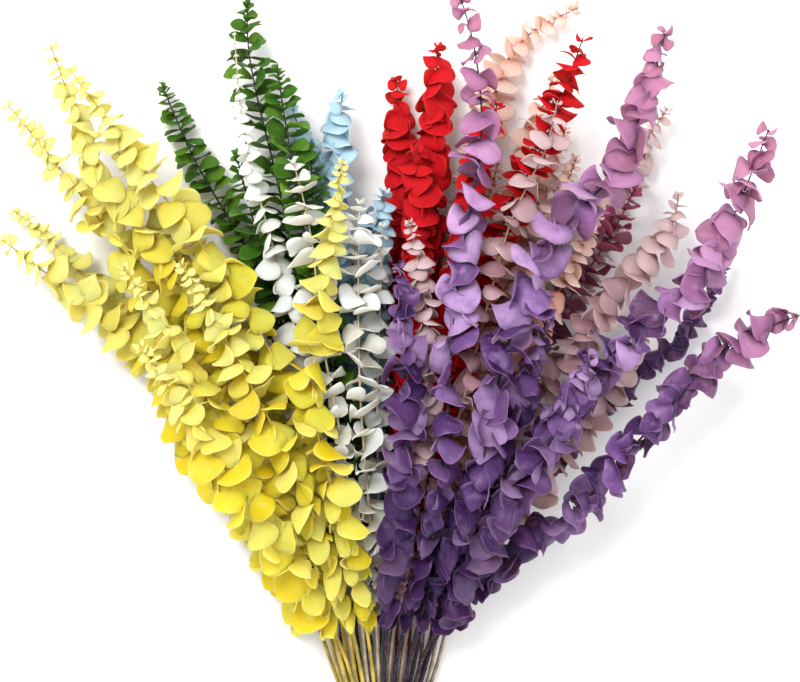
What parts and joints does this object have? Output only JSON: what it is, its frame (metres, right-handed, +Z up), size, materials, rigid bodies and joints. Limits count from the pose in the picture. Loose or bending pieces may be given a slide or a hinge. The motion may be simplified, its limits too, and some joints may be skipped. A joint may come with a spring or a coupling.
{
  "type": "bunch of dried eucalyptus",
  "caption": "Bunch of dyed dried eucalyptus stems with paired round leaves, fanned out from gathered bare cut ends and lying on a surface.",
  "frame": {"origin": "on the surface that the bunch lies on, under the middle of its outline", "axes": "+Z up from the surface, +Y along the stems from the cut ends to the tips, +X across the fan to the right when the cut ends are nearest the viewer"},
  "size_m": [0.65, 0.6116, 0.1346],
  "materials": {
    "yellow_leaf": "matte",
    "white_leaf": "matte",
    "green_leaf": "matte",
    "light_blue_leaf": "matte",
    "red_leaf": "matte",
    "peach_leaf": "matte",
    "mauve_leaf": "matte",
    "wine_leaf": "matte",
    "purple_leaf": "matte"
  },
  "bodies": {
    "root": {"yellow_stem_1": "yellow_leaf", "green_stem_1": "green_leaf", "light_blue_stem_1": "light_blue_leaf", "red_stem_1": "red_leaf", "peach_stem_1": "peach_leaf", "peach_stem_5": "peach_leaf", "mauve_stem_1": "mauve_leaf", "purple_stem_1": "purple_leaf", "yellow_stem_2": "yellow_leaf", "green_stem_2": "green_leaf", "light_blue_stem_2": "light_blue_leaf", "light_blue_stem_4": "light_blue_leaf", "red_stem_2": "red_leaf", "peach_stem_6": "peach_leaf", "peach_stem_2": "peach_leaf", "mauve_stem_6": "mauve_leaf", "wine_stem_1": "wine_leaf", "mauve_stem_2": "mauve_leaf", "yellow_stem_3": "yellow_leaf", "yellow_stem_9": "yellow_leaf", "green_stem_3": "green_leaf", "green_stem_4": "green_leaf", "light_blue_stem_3": "light_blue_leaf", "red_stem_5": "red_leaf", "red_stem_3": "red_leaf", "peach_stem_3": "peach_leaf", "mauve_stem_3": "mauve_leaf", "yellow_stem_4": "yellow_leaf", "white_stem_1": "white_leaf", "green_stem_5": "green_leaf", "white_stem_2": "white_leaf", "red_stem_4": "red_leaf", "peach_stem_4": "peach_leaf", "purple_stem_9": "purple_leaf", "purple_stem_2": "purple_leaf", "yellow_stem_10": "yellow_leaf", "yellow_stem_5": "yellow_leaf", "white_stem_3": "white_leaf", "white_stem_4": "white_leaf", "mauve_stem_4": "mauve_leaf", "mauve_stem_5": "mauve_leaf", "purple_stem_8": "purple_leaf", "purple_stem_3": "purple_leaf", "yellow_stem_6": "yellow_leaf", "yellow_stem_7": "yellow_leaf", "yellow_stem_8": "yellow_leaf", "purple_stem_4": "purple_leaf", "purple_stem_5": "purple_leaf", "purple_stem_6": "purple_leaf", "purple_stem_7": "purple_leaf"}
  },
  "joints": []
}
